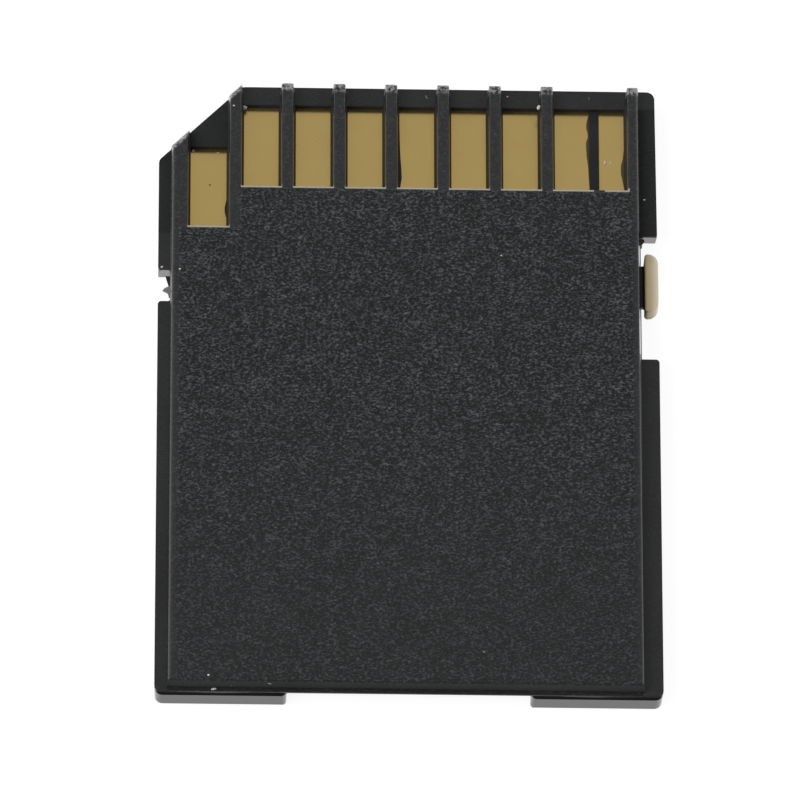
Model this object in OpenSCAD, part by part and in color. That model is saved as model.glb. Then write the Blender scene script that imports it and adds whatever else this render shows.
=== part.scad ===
/* [Body] */
// Width of the body
card_w = 24; // [23:0.1:26]
// Length of the body, rear edge to contact edge
card_l = 32; // [31:0.1:36]
// Height over the raised plateau
card_h = 2.1; // [2.1:0.05:2.6]
// Height of the side ledges and of the front bar
ledge_h = 1.4; // [1.35:0.01:1.5]
// Height of the parting line between the two shells
seam_h = 1.15; // [1.1:0.01:1.2]
// Size of the cut-off corner, along each edge
corner_cut = 4; // [3.5:0.1:4.5]
// Radius of the other corners, seen from above
corner_r = 0.4; // [0.2:0.05:0.8]
// How far the lock side tapers in at the contact edge
lead_in = 0.1; // [0.05:0.01:0.3]
// Radius rolled round the lower edge
rolled_r = 0.12; // [0.08:0.01:0.35]
// How far the label side's walls lean in down to the label face
label_lean_w = 0.03; // [0.02:0.01:0.1]
// How far the contact side stops short of the rear edge
rear_step = 0.12; // [0.05:0.01:0.2]

/* [Plateau] */
// Width of the ledge on the cut-corner side
ledge_left_w = 0.58; // [0.5:0.01:0.8]
// Width of the ledge on the lock side
ledge_right_w = 0.88; // [0.7:0.01:0.95]
// Width of the ledge along the rear edge, from the rear edge of the body
ledge_rear_w = 0.3; // [0.25:0.01:0.4]
// How far the plateau's walls lean in
side_lean_w = 0.06; // [0.03:0.01:0.1]
// Radius along the plateau's side edges
side_r = 0.2; // [0.1:0.01:0.25]
// Radius along the plateau's rear edge and along the rear edges of the windows
edge_r = 0.09; // [0.05:0.01:0.12]

/* [Windows and ribs] */
// Number of pads in the row, without the narrow one and the one set back
row_pads = 7; // [7:1:7]
// Margin from the body's edge to the pad that is set back
pad_margin_left = 1.53; // [1.5:0.01:1.6]
// Margin from the narrow pad to the body's edge on the lock side
pad_margin_right = 1.59; // [1.55:0.01:1.65]
// Height of the pads' faces
pad_h = 1.05; // [1:0.01:1.1]
// Width of the front bar
bar_w = 0.98; // [0.8:0.01:1]
// Distance from the contact edge to the rear wall of the windows
window_rear = 5.63; // [5.4:0.01:6]
// The same for pad 9, which is set back
window_rear_9 = 7.8; // [7.4:0.01:8]
// Distance from the contact edge to the front wall of window 9
window_front_9 = 3.25; // [3:0.01:3.5]
// Width of a rib at its top
rib_w = 0.54; // [0.4:0.01:0.6]
// How far a rib's side leans out down to the pads
rib_lean_w = 0.15; // [0.1:0.01:0.2]
// Radius along a rib's top edges
rib_r = 0.12; // [0.06:0.01:0.14]
// Radius of the ribs' front tips, seen from the side
rib_tip_r = 0.3; // [0.1:0.01:0.4]
// Radius of the plateau's edge where the corner is cut off
cut_r = 0.42; // [0.2:0.01:0.5]
// Radius of the ribs' front tips, seen from above
rib_cap_r = 0.44; // [0.4:0.01:0.5]
// Width of window 8 at the pad's face
window_w_8 = 1.2; // [1.1:0.01:1.25]
// Width of the low web between windows 7 and 8
web_w = 0.46; // [0.4:0.01:0.5]
// Height of that web above the pads
web_rise = 0.15; // [0.05:0.01:0.2]
// Width of window 9 at the pad's face
window_w_9 = 1.72; // [1.6:0.01:1.8]

/* [Terminals] */
// Thickness of the stamped strip
strip_t = 0.15; // [0.1:0.01:0.2]
// Width of a lead
lead_w = 0.55; // [0.4:0.01:0.6]
// How far a pad's edges run on below the plastic
pad_tuck = 0.16; // [0.05:0.01:0.18]
// Gap that keeps the ground link off the pads it passes
insulation = 0.25; // [0.2:0.01:0.28]
// Width of the strip that joins the two ground pads
ground_link_w = 0.24; // [0.2:0.01:0.26]
// Distance of that strip from the contact edge
ground_link_in = 0.28; // [0.2:0.01:0.3]
// Diameter of the hole that locks a terminal in the plastic
anchor_d = 0.6; // [0.4:0.01:0.8]
// Pitch of the spring fingers
finger_pitch = 1.1; // [1.05:0.01:1.15]
// Offset of the row of fingers from the centre line
finger_offset = 0.65; // [0.4:0.01:0.7]
// Width of a spring finger
finger_w = 0.5; // [0.4:0.01:0.55]
// How far a finger rises above its lead
finger_rise = 0.36; // [0.3:0.01:0.4]
// How far a finger then dips to its contact point
finger_dip = 0.34; // [0.2:0.01:0.36]
// How far its tip turns up again
finger_curl = 0.26; // [0.1:0.01:0.3]
// Length of the finger's rise, dip and curl, along the body
finger_rise_l = 1.9; // [1.6:0.1:2]
// Length of the dip
finger_dip_l = 2.3; // [2:0.1:2.4]
// Length of the curled tip
finger_curl_l = 1.1; // [0.9:0.1:1.2]

/* [Card slot] */
// Width of the slot
slot_w = 11.2; // [11.1:0.01:11.3]
// Distance from the contact edge to the slot's stop wall
stop_in = 16.9; // [16.5:0.1:17]
// Thickness of the floor under the slot
floor_t = 0.4; // [0.35:0.01:0.5]
// Width of the mouth in the label side
mouth_w = 11.5; // [11.5:0.1:12]
// Length of the mouth in the label side
mouth_l = 2; // [1.5:0.1:3]
// Radius of the mouth's inner corners
mouth_r = 0.8; // [0.3:0.1:1.2]
// Radius of the mouth's outer corners
mouth_lip_r = 0.3; // [0.1:0.05:0.4]
// Thickness of the rails beside the slot
rail_t = 0.8; // [0.6:0.05:1]
// Thickness of the stop wall
stop_t = 0.6; // [0.4:0.05:0.7]
// Height of the stop wall's low middle above the floor
stop_h = 0.4; // [0.2:0.05:0.45]
// Width of the key block in the slot's front corner
key_w = 1.25; // [1:0.05:1.3]
// Length of the key block
key_l = 6; // [5:0.1:6.4]
// Lead-in bevel of the slot's roof at the mouth
roof_bevel = 0.1; // [0.05:0.01:0.15]

/* [Label side] */
// Width of the rim round the tray
rim_w = 0.98; // [0.95:0.01:1.05]
// Height of the rim where the contact face passes over it
front_rim_h = 0.65; // [0.6:0.01:0.7]
// Clearance between the rim and the block that sits in it
rim_gap = 0.04; // [0.02:0.01:0.06]
// Margin round the label recess
recess_margin = 1.5; // [1.2:0.1:2.5]
// Depth of the label recess
recess_d = 0.08; // [0.04:0.01:0.12]
// Diameter of the support posts in the side bays
post_d = 1.2; // [1:0.1:1.6]
// Number of support posts on each side
posts = 3; // [2:1:3]

/* [Edge notches] */
// Distance from the contact edge to the notch on the cut-corner side
left_notch_front = 9.88; // [9.5:0.01:10.2]
// Length of that notch
left_notch_l = 1.65; // [1.2:0.01:2]
// Depth of that notch
left_notch_d = 0.58; // [0.4:0.01:0.62]
// Distance from the contact edge to the lock notch
lock_notch_front = 7.74; // [7.5:0.01:7.9]
// Length of the lock notch
lock_notch_l = 6.57; // [6.4:0.01:6.8]
// Depth of the lock notch at the label face
lock_notch_d = 0.75; // [0.7:0.01:0.78]
// How far the lock notch's wall leans in up to the plateau
lock_lean_w = 0.23; // [0.2:0.01:0.25]
// How far the notches' end walls lean out down to the label face
notch_lean_w = 0.25; // [0.1:0.01:0.3]
// Bevel of the notches' end walls at the label face
notch_bevel = 0.15; // [0.05:0.01:0.2]
// Radius of the notches' outer corners
notch_r = 0.18; // [0.1:0.01:0.2]

/* [Lock slider] */
// Length of the slider's grip
grip_l = 3.09; // [2.9:0.01:3.3]
// Gap between the grip and the front end of its notch
grip_gap = 0.87; // [0.7:0.01:0.9]
// Width of the grip
grip_w = 0.66; // [0.5:0.01:0.68]
// Height of the grip
grip_h = 0.95; // [0.7:0.01:1]
// Radius of the grip's corners
grip_r = 0.5; // [0.2:0.01:0.6]
// Height of the grip's lower face
grip_z = 0.3; // [0.25:0.01:0.4]
// Travel of the slider, towards the rear
lock_travel = 2; // [1.8:0.05:2.05]
// Length of the flange inside the body
flange_l = 4.4; // [4.2:0.05:4.6]
// Width of the flange
flange_w = 1.15; // [1:0.01:1.2]
// Thickness of the flange
flange_t = 0.6; // [0.4:0.01:0.65]
// Length of the neck that carries the grip
neck_l = 2.2; // [2:0.05:2.6]
// Thickness of the neck
neck_t = 0.35; // [0.3:0.01:0.5]
// Running clearance of the flange at its ends
slider_gap = 0.1; // [0.05:0.01:0.12]
// Width of the slit behind the sprung arm
arm_slit = 0.2; // [0.15:0.01:0.25]
// Thickness of the sprung arm
arm_t = 0.22; // [0.15:0.01:0.25]
// Depth of the two click notches
click_d = 0.1; // [0.05:0.01:0.12]
// Radius of the click bump
click_r = 0.3; // [0.2:0.01:0.35]

/* [Hidden] */

// Overrun of every cut, and thickness of the slices that a hull blends
over = 0.5;
slice_t = 0.01;
$fn = 48;
arc_steps = 6;

// Places of the body's edges
left_x = -card_w / 2;
right_x = card_w / 2;
rear_y = -card_l / 2;
front_y = card_l / 2;
contact_rear_y = rear_y + rear_step;

// The two edge notches, by their front and rear ends
left_notch_y1 = front_y - left_notch_front;
left_notch_y0 = left_notch_y1 - left_notch_l;
lock_notch_y1 = front_y - lock_notch_front;
lock_notch_y0 = lock_notch_y1 - lock_notch_l;
notch_root_r = 0.09;

// The rim is low in front of this line, round the contact face
step_y = front_y - corner_cut - corner_r;

// Plateau at its foot, on the ledges
plateau_x0 = left_x + ledge_left_w;
plateau_x1 = right_x - ledge_right_w;
plateau_y0 = rear_y + ledge_rear_w;

// Windows: the rear wall, the bar's inner face and the level of the leads
window_y0 = front_y - window_rear;
window_y1 = front_y - bar_w;
window9_y0 = front_y - window_rear_9;
window9_y1 = front_y - window_front_9;
lead_h = pad_h - strip_t;

// The windows share the width between the margins: windows 9 and 8 outside, the row between them
window9_x0 = left_x + pad_margin_left;
window9_x1 = window9_x0 + window_w_9;
window8_x1 = right_x - pad_margin_right;
window8_x0 = window8_x1 - window_w_8;
pad_pitch = (window8_x0 - web_w - window9_x1) / row_pads;
window_half = (pad_pitch - rib_w) / 2 - rib_lean_w;

// Front tips: how far the ribs' tips stand back, and the round tip of the margin beside the cut corner
tip_set = 0.01;
margin_cap_r = 0.22;
margin_cap_in = 0.38;

// Middles of the two outer pads
pad_x8 = (window8_x0 + window8_x1) / 2;
pad_x9 = (window9_x0 + window9_x1) / 2;

// Pads: how far they run back under the plastic, their front ends, and the tuck beside the low web
pad_root_l = 1.2;
pad_rear_y = window_y0 - pad_root_l;
pad_front_y = front_y - ground_link_in;
short_front_y = pad_front_y - ground_link_w - insulation;
web_tuck = 0.04;

// Card slot and its walls
slot_stop_y = front_y - stop_in;
slot_l = slot_stop_y - rear_y;
pocket_y1 = slot_stop_y + finger_rise_l;
finger_end_y = slot_stop_y - finger_dip_l - finger_curl_l;
pocket_margin = 0.45;
pocket_roof_gap = 0.11;
fingers = 8;
pocket_x0 = finger_x(1) - finger_w / 2 - pocket_margin;
pocket_x1 = finger_x(fingers) + finger_w / 2 + pocket_margin;
post_pitch = (pocket_y1 - rear_y - rim_w) / (posts + 1);
pocket_h = lead_h + strip_t + finger_rise + pocket_roof_gap;

// The slider, its root radius and the bay that its flange runs in
grip_y1 = lock_notch_y1 - grip_gap;
grip_mid_y = grip_y1 - grip_l / 2;
flange_y0 = grip_mid_y - flange_l / 2;
grip_root_r = 0.16;
bay_y1 = flange_y0 + flange_l + slider_gap;
bay_y0 = flange_y0 - lock_travel - slider_gap;
bay_x1 = right_x - rim_w - lead_in / 2;
flange_x1 = bay_x1 - slider_gap / 2;
flange_x0 = flange_x1 - flange_w;
bay_x0 = flange_x0 - slider_gap / 2;
flange_z = floor_t + (seam_h - floor_t - flange_t) / 2;
neck_z = flange_z;
click_y = flange_y0 + flange_l / 2;

// Leads 7 and 8 pass the slider's bay one lead apart
lane_8_x = bay_x0 - lead_w;

// Sampling of a spring finger's curve
finger_steps = 8;

// Centre of pad n of the row along X
function pad_x(n) = window9_x1 + (n - 1 / 2) * pad_pitch + rib_w / 2 + rib_lean_w;

// Centre of spring finger n along X
function finger_x(n) = finger_offset + (n - (fingers + 1) / 2) * finger_pitch;

// Unit vector and corner helpers for outlines
function unit(v) = v / norm(v);
function turned(a) = a > 180 ? a - 360 : a < -180 ? a + 360 : a;
function heading(v) = atan2(v[1], v[0]);

// Points of the arc of radius r that rounds the corner p between its neighbours a and b
function corner(a, p, b, r) =
    r == 0 ? [p] :
    let (u = unit(a - p), v = unit(b - p),
         half = acos(u * v) / 2,
         centre = p + unit(u + v) * r / sin(half),
         from = heading(p + u * r / tan(half) - centre),
         sweep = turned(heading(p + v * r / tan(half) - centre) - from))
    [for (i = [0 : arc_steps]) centre + r * [cos(from + sweep * i / arc_steps),
                                             sin(from + sweep * i / arc_steps)]];

// A closed outline with each corner rounded by its own radius
function rounded(points, radii) =
    let (n = len(points))
    [for (i = [0 : n - 1])
        each corner(points[(i + n - 1) % n], points[i], points[(i + 1) % n], radii[i])];

// Points beside a path, at a signed distance d to its left, mitred at each turn
function beside(path, d) =
    let (n = len(path))
    [for (i = [0 : n - 1])
        let (u = unit(path[min(i + 1, n - 1)] - path[min(i, n - 2)]),
             v = unit(path[max(i, 1)] - path[max(i - 1, 0)]),
             nu = [-u[1], u[0]], nv = [-v[1], v[0]])
        path[i] + (nu + nv) * d / (1 + nu * nv)];

// A strip of width w along a path
function ribbon(path, w) =
    let (left = beside(path, w / 2), right = beside(path, -w / 2), n = len(path))
    concat(left, [for (i = [n - 1 : -1 : 0]) right[i]]);

// Outline of the body, drawn in by a margin
function body_points(inset) =
    [[left_x + inset, rear_y + inset],
     [right_x - inset, rear_y + inset],
     [right_x - inset, lock_notch_y0],
     [right_x - lead_in - inset, front_y - inset],
     [left_x + corner_cut + inset * (sqrt(2) - 1), front_y - inset],
     [left_x + inset, front_y - corner_cut - inset * (sqrt(2) - 1)]];

module outline(inset) {
    r = max(corner_r - inset, slice_t);
    polygon(rounded(body_points(inset), [r, r, 0, r, r, r]));
}

// A prism along Y whose section, in X and Z, is drawn by its children
module along_y(y0, y1) {
    translate([0, y1, 0])
        rotate([90, 0, 0])
            linear_extrude(y1 - y0)
                children();
}

// A prism along X whose section, in Y and Z, is drawn by its children
module along_x(x0, x1) {
    translate([x0, 0, 0])
        rotate([90, 0, 90])
            linear_extrude(x1 - x0)
                children();
}

// Void of a window: x0 and x1 are its width at the pads, y0 and y1 its end walls at the bar's level.
// Its side walls lean out, the edges at the plateau are rounded, and past the bar's inner face it runs
// on to the front edge at the bar's level.
module window(x0, x1, y0, y1) {
    top = card_h + over;
    rise = edge_r / arc_steps;
    left = x0 - rib_lean_w;
    right = x1 + rib_lean_w;
    intersection() {
        along_y(y0 - edge_r, front_y + over)
            polygon(rounded([[x0, pad_h], [x1, pad_h], [right, card_h], [right + rib_r, card_h + rise],
                             [right + rib_r, top], [left - rib_r, top], [left - rib_r, card_h + rise],
                             [left, card_h]],
                            [0, 0, rib_r, 0, 0, 0, 0, rib_r]));
        along_x(left - rib_r - over, right + rib_r + over)
            polygon(rounded([[y0, pad_h], [y1, pad_h], [y1, ledge_h],
                             [front_y + over, ledge_h], [front_y + over, top + over],
                             [y0 - 2 * edge_r, top + over], [y0 - 2 * edge_r, card_h + rise],
                             [y0, card_h]],
                            [0, 0, 0, 0, 0, 0, 0, edge_r]));
    }
}

// Everything that the windows take out of the plateau
module windows() {
    for (n = [1 : row_pads - 1])
        window(pad_x(n) - window_half, pad_x(n) + window_half, window_y0, window_y1);
    difference() {
        window(pad_x(row_pads) - window_half, window8_x1, window_y0, window_y1);
        translate([window8_x0 - web_w, window_y0 - over, 0])
            cube([web_w, window_rear + over, pad_h + web_rise]);
    }
    window(window9_x0, window9_x1, window9_y0, window9_y1);
}

// What rounds a rib's front tip, seen from above: all that lies in front of a circle of radius r at x, y
module tip_cap(x, y, r) {
    translate([0, 0, ledge_h])
        linear_extrude(card_h - ledge_h + over)
            difference() {
                translate([x - r, y + r / 4])
                    square([2 * r, r + over]);
                translate([x, y])
                    circle(r);
            }
}

module tip_caps() {
    last_x = (window8_x1 + rib_lean_w + plateau_x1 - side_lean_w) / 2;
    cap_y = front_y - rib_cap_r - tip_set;
    for (n = [2 : row_pads])
        tip_cap(pad_x(n) - pad_pitch / 2, cap_y, rib_cap_r);
    tip_cap(last_x, cap_y, rib_cap_r);
    tip_cap(left_x + corner_cut - rib_cap_r, front_y - margin_cap_in, margin_cap_r);
}

// Raised plateau: its walls lean in, its edges are rounded, and so are its front tips
module plateau() {
    difference() {
        intersection() {
            along_y(rear_y, front_y)
                polygon(rounded([[plateau_x0, seam_h], [plateau_x0, ledge_h],
                                 [plateau_x0 + side_lean_w, card_h], [plateau_x1 - side_lean_w, card_h],
                                 [plateau_x1, ledge_h], [plateau_x1, seam_h]],
                                [0, 0, side_r, side_r, 0, 0]));
            along_x(left_x, right_x)
                polygon(rounded([[plateau_y0, seam_h], [plateau_y0, ledge_h],
                                 [plateau_y0 + side_lean_w, card_h],
                                 [front_y, card_h], [front_y, seam_h]],
                                [0, 0, edge_r, rib_tip_r, 0]));
            linear_extrude(card_h + over)
                outline(0);
        }
        cut_corner_round();
    }
}

// Rounds the plateau's edge where the corner of the body is cut off
module cut_corner_round() {
    translate([left_x, front_y - corner_cut, 0])
        rotate([0, 0, 45])
            along_x(-over * sqrt(2), (corner_cut + over) * sqrt(2))
                difference() {
                    translate([-cut_r, card_h - cut_r])
                        square(cut_r + over);
                    translate([-cut_r, card_h - cut_r])
                        circle(cut_r);
                }
}

// Outline of a notch in a side edge: its outer corners are rounded towards the edge
module notch_outline(edge_x, side, depth, y0, y1) {
    wall_x = edge_x - side * depth;
    far_x = edge_x + side * over;
    polygon(rounded([[wall_x, y0], [edge_x, y0], [edge_x, y0 - 2 * notch_r], [far_x, y0 - 2 * notch_r],
                     [far_x, y1 + 2 * notch_r], [edge_x, y1 + 2 * notch_r], [edge_x, y1], [wall_x, y1]],
                    [notch_root_r, notch_r, 0, 0, 0, 0, notch_r, notch_root_r]));
}

// The leaning end walls of a notch, between x0 and x1, from just below the ledge down
module notch_ends(x0, x1, y0, y1) {
    top = ledge_h - notch_root_r / 2;
    low = notch_lean_w * (top - notch_bevel) / ledge_h;
    flare = low + notch_bevel + over;
    along_x(x0, x1)
        polygon([[y0, top], [y0 - low, notch_bevel], [y0 - flare, -over], [y1 + flare, -over],
                 [y1 + low, notch_bevel], [y1, top]]);
}

module notches() {
    wall_x = right_x - lock_notch_d;
    lean = lock_lean_w / card_h;
    full_h = card_h + 2 * over;
    translate([0, 0, -over])
        linear_extrude(full_h)
            notch_outline(left_x, -1, left_notch_d, left_notch_y0, left_notch_y1);
    notch_ends(left_x - over, left_x + left_notch_d - notch_root_r / 2, left_notch_y0, left_notch_y1);
    intersection() {
        translate([0, 0, -over])
            linear_extrude(full_h)
                notch_outline(right_x, 1, lock_notch_d + 2 * lock_lean_w, lock_notch_y0, lock_notch_y1);
        along_y(lock_notch_y0 - over, lock_notch_y1 + over)
            polygon([[wall_x + lean * 2 * over, -2 * over], [right_x + 2 * over, -2 * over],
                     [right_x + 2 * over, full_h], [wall_x - lean * full_h, full_h]]);
    }
    notch_ends(wall_x + notch_root_r / 2, right_x + over, lock_notch_y0, lock_notch_y1);
}

// The part of the outline, drawn in by a margin, that lies in front of a line across the body
module front_part(inset, y) {
    intersection() {
        outline(inset);
        translate([left_x, y])
            square([card_w, front_y - y]);
    }
}

// Block under the contact face that holds the terminals: it sits in the rim of the other shell,
// and passes over it round the front
module terminal_block() {
    translate([0, 0, front_rim_h])
        linear_extrude(ledge_h - front_rim_h)
            front_part(0, step_y);
    difference() {
        translate([0, 0, floor_t])
            linear_extrude(ledge_h - floor_t)
                front_part(rim_w + rim_gap, pocket_y1);
        translate([bay_x0, bay_y0, floor_t - over])
            cube([card_w, bay_y1 - bay_y0, seam_h - floor_t + over]);
        for (y = [click_y, click_y - lock_travel])
            translate([bay_x0 + click_r - click_d, y, floor_t - over])
                cylinder(r = click_r, h = seam_h - floor_t + over);
    }
}

module contact_side_shell() {
    color([0.2, 0.21, 0.21])
    difference() {
        union() {
            translate([0, 0, seam_h])
                linear_extrude(ledge_h - seam_h)
                    outline(0);
            plateau();
            terminal_block();
        }
        windows();
        tip_caps();
        notches();
        terminal_flats();
        translate([left_x - over, rear_y - over, 0])
            cube([card_w + 2 * over, rear_step + over, card_h]);
        translate([pocket_x0, finger_end_y - pocket_margin, floor_t])
            cube([pocket_x1 - pocket_x0, pocket_y1 - finger_end_y + pocket_margin, pocket_h - floor_t]);
        along_x(-mouth_w / 2, mouth_w / 2)
            polygon([[contact_rear_y - over, seam_h - over], [contact_rear_y + roof_bevel, seam_h - over],
                     [contact_rear_y + roof_bevel, seam_h], [contact_rear_y, seam_h + roof_bevel],
                     [contact_rear_y - over, seam_h + roof_bevel]]);
    }
}

// Slab with leaning walls and its lower edge rolled round, blended from slices that follow a quarter circle
module rolled_slab() {
    hull() {
        for (i = [0 : arc_steps]) {
            z = rolled_r * (1 - cos(90 * i / arc_steps));
            translate([0, 0, z])
                linear_extrude(slice_t)
                    outline(rolled_r * (1 - sin(90 * i / arc_steps)) + label_lean_w * (1 - z / seam_h));
        }
        translate([0, 0, seam_h - slice_t])
            linear_extrude(slice_t)
                outline(0);
    }
}

// Walls inside the tray: rails, stop wall, key block and posts, from within the floor up to the seam
module tray_walls() {
    root = floor_t - recess_d;
    translate([0, 0, root]) {
        for (side = [-1, 1])
            translate([side * (slot_w + rail_t) / 2 - rail_t / 2, rear_y + rolled_r, 0])
                cube([rail_t, slot_l + stop_t - rolled_r, seam_h - root]);
        translate([-slot_w / 2, slot_stop_y, 0])
            cube([slot_w, stop_t, stop_h + recess_d]);
        translate([-slot_w / 2, slot_stop_y - key_l, 0])
            linear_extrude(seam_h - root)
                polygon([[-rail_t / 2, 0], [0, 0], [key_w, key_w], [key_w, key_l + stop_t],
                         [-rail_t / 2, key_l + stop_t]]);
        for (side = [-1, 1], i = [1 : posts])
            translate([side * (slot_w / 2 + rail_t + (card_w / 2 - rim_w)) / 2,
                       rear_y + rim_w + post_pitch * i, 0])
                cylinder(d = post_d, h = seam_h - root);
    }
}

// Mouth of the slot in the label side, with rounded outer and inner corners
module mouth() {
    half = mouth_w / 2;
    lip = half + 2 * mouth_lip_r;
    translate([0, 0, -over])
        linear_extrude(seam_h + 2 * over)
            polygon(rounded([[-lip, rear_y - over], [lip, rear_y - over], [lip, rear_y],
                             [half, rear_y], [half, rear_y + mouth_l], [-half, rear_y + mouth_l],
                             [-half, rear_y], [-lip, rear_y]],
                            [0, 0, 0, mouth_lip_r, mouth_r, mouth_r, mouth_lip_r, 0]));
}

module label_side_shell() {
    color([0.16, 0.16, 0.17])
    difference() {
        union() {
            difference() {
                rolled_slab();
                translate([0, 0, floor_t])
                    linear_extrude(seam_h)
                        outline(rim_w);
            }
            tray_walls();
        }
        mouth();
        notches();
        translate([-slot_w / 2, rear_y - over, floor_t])
            cube([slot_w, rim_w + 2 * over, seam_h]);
        translate([0, 0, front_rim_h])
            linear_extrude(seam_h)
                translate([left_x - over, step_y])
                    square([card_w + 2 * over, card_l]);
        translate([bay_x1 - over, lock_notch_y0 + notch_r, floor_t])
            cube([rim_w + over, lock_notch_l - 2 * notch_r, seam_h]);
        translate([0, 0, -over])
            linear_extrude(recess_d + over)
                intersection() {
                    outline(recess_margin);
                    translate([left_x, rear_y + mouth_l + recess_margin / 2])
                        square([card_w, card_l]);
                }
    }
}

// Write-protect slider: grip outside, neck through the wall, flange with a sprung arm inside
module lock_slider() {
    color([0.69, 0.61, 0.49]) {
        difference() {
            union() {
                translate([0, 0, grip_z])
                    linear_extrude(grip_h)
                        polygon(rounded([[right_x - grip_w, grip_y1 - grip_l], [right_x, grip_y1 - grip_l],
                                         [right_x, grip_y1], [right_x - grip_w, grip_y1]],
                                        [grip_root_r, grip_r, grip_r, grip_root_r]));
                translate([flange_x1 - over, grip_mid_y - neck_l / 2, neck_z])
                    cube([right_x - grip_w + over / 2 - flange_x1 + over, neck_l, neck_t]);
                translate([flange_x0, flange_y0, flange_z])
                    cube([flange_w, flange_l, flange_t]);
                translate([flange_x0 + click_r - slider_gap / 4, click_y, flange_z])
                    cylinder(r = click_r, h = flange_t);
            }
            translate([flange_x0 + arm_t, flange_y0 + 2 * arm_slit, flange_z - over])
                cube([arm_slit, flange_l - 4 * arm_slit, flange_t + 2 * over]);
        }
    }
}

// Path of a lead from its pad to the line of its finger: straight, a 45 degree run, straight again
function lead_path(x, y_pad, finger, y_turn) =
    let (fx = finger_x(finger), dx = abs(x - fx))
    [[x, y_pad], [x, y_turn], [fx, y_turn - dx], [fx, pocket_y1]];

// Where each lead turns, so that neighbours keep the same gap along their slanting runs
lead_step = lead_w + finger_pitch / 2;
turn_4 = pocket_y1 + pad_pitch;
turn_5 = turn_4 + pad_pitch / 2;
turn_6 = turn_5 + pad_pitch - lead_step * sqrt(2) + lead_step / 4;
turn_7 = turn_6 + pad_pitch - lead_step * sqrt(2);
turn_8 = turn_7 + (lane_8_x - pad_x(row_pads)) - lead_step * sqrt(2);
turn_9 = window9_y0 - pad_root_l / 2;
turn_1 = turn_9 - (pad_x(1) - pad_x9) + lead_step * sqrt(2);
turn_2 = turn_1 - pad_pitch + lead_step * sqrt(2);

// Flat part of a terminal, seen from above: a pad between x0 and x1, and its lead
module flat_outline(x0, x1, y0, y1, path) {
    difference() {
        union() {
            translate([x0, y0])
                square([x1 - x0, y1 - y0]);
            polygon(ribbon(path, lead_w));
        }
        translate([(x0 + x1) / 2, y0 + pad_root_l / 2])
            circle(d = anchor_d);
    }
}

// Flat part of the terminal of an ordinary pad n, which ends at y1
module pad_flat(n, y1, path) {
    half = window_half + pad_tuck;
    flat_outline(pad_x(n) - half, pad_x(n) + half, pad_rear_y, y1, path);
}

module flat_1() {
    pad_flat(1, pad_front_y, lead_path(pad_x(1), window_y0, 2, turn_1));
}

module flat_2() {
    pad_flat(2, pad_front_y, lead_path(pad_x(2), window_y0, 3, turn_2));
}

module flat_ground() {
    pad_flat(6, pad_front_y, lead_path(pad_x(6), window_y0, 6, turn_6));
    pad_flat(3, pad_front_y, [[pad_x(3), window_y1], [pad_x(3), pad_rear_y + lead_w]]);
    translate([pad_x(3), pad_front_y - ground_link_w])
        square([pad_x(6) - pad_x(3), ground_link_w]);
}

module flat_4() {
    pad_flat(4, short_front_y, lead_path(pad_x(4), window_y0, 4, turn_4));
}

module flat_5() {
    pad_flat(5, short_front_y, lead_path(pad_x(5), window_y0, 5, turn_5));
}

module flat_7() {
    x = pad_x(row_pads);
    flat_outline(x - window_half - pad_tuck, x + window_half + web_tuck, pad_rear_y, pad_front_y,
                 lead_path(x, window_y0, 7, turn_7));
}

module flat_8() {
    jog = pad_x8 - lane_8_x;
    flat_outline(window8_x0 - web_tuck, window8_x1 + pad_tuck, pad_rear_y, pad_front_y,
                 concat([[pad_x8, window_y0], [pad_x8, pad_rear_y]],
                        lead_path(lane_8_x, pad_rear_y - jog, 8, turn_8)));
}

module flat_9() {
    flat_outline(window9_x0 - pad_tuck, window9_x1 + pad_tuck, window9_y0 - pad_root_l,
                 window9_y1 + pad_tuck, lead_path(pad_x9, window9_y0, 1, turn_9));
}

// The flat parts as the moulded shell closes round them
module terminal_flats() {
    translate([0, 0, lead_h])
        linear_extrude(strip_t) {
            flat_1();
            flat_2();
            flat_ground();
            flat_4();
            flat_5();
            flat_7();
            flat_8();
            flat_9();
        }
}

// Height of a finger's middle line at a distance s from its lead, by smooth steps
function ease(t) = (1 - cos(180 * t)) / 2;
function finger_height(s) =
    s <= finger_rise_l ? finger_rise * ease(s / finger_rise_l) :
    s <= finger_rise_l + finger_dip_l ?
        finger_rise - finger_dip * ease((s - finger_rise_l) / finger_dip_l) :
    finger_rise - finger_dip + finger_curl * pow((s - finger_rise_l - finger_dip_l) / finger_curl_l, 2);

// Side view of a spring finger, sampled along each of its three stretches
function finger_marks() =
    concat([for (i = [0 : finger_steps]) finger_rise_l * i / finger_steps],
           [for (i = [1 : finger_steps]) finger_rise_l + finger_dip_l * i / finger_steps],
           [for (i = [1 : finger_steps / 2])
               finger_rise_l + finger_dip_l + 2 * finger_curl_l * i / finger_steps]);

module finger(n) {
    path = [for (s = finger_marks()) [pocket_y1 - s, lead_h + strip_t / 2 + finger_height(s)]];
    along_x(finger_x(n) - finger_w / 2, finger_x(n) + finger_w / 2)
        polygon(ribbon(path, strip_t));
}

// A terminal: its flat part, drawn by its children, and spring finger n
module terminal(n) {
    color([0.78, 0.62, 0.3]) {
        translate([0, 0, lead_h])
            linear_extrude(strip_t)
                children();
        finger(n);
    }
}

module terminal_1() { terminal(2) flat_1(); }
module terminal_2() { terminal(3) flat_2(); }
module ground_terminal() { terminal(6) flat_ground(); }
module terminal_4() { terminal(4) flat_4(); }
module terminal_5() { terminal(5) flat_5(); }
module terminal_7() { terminal(7) flat_7(); }
module terminal_8() { terminal(8) flat_8(); }
module terminal_9() { terminal(1) flat_9(); }

contact_side_shell();
label_side_shell();
lock_slider();
terminal_1();
terminal_2();
ground_terminal();
terminal_4();
terminal_5();
terminal_7();
terminal_8();
terminal_9();
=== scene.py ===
"""Looks of the card sleeve: finishes, softened edges, moulding flash, dust, studio and camera."""

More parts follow.
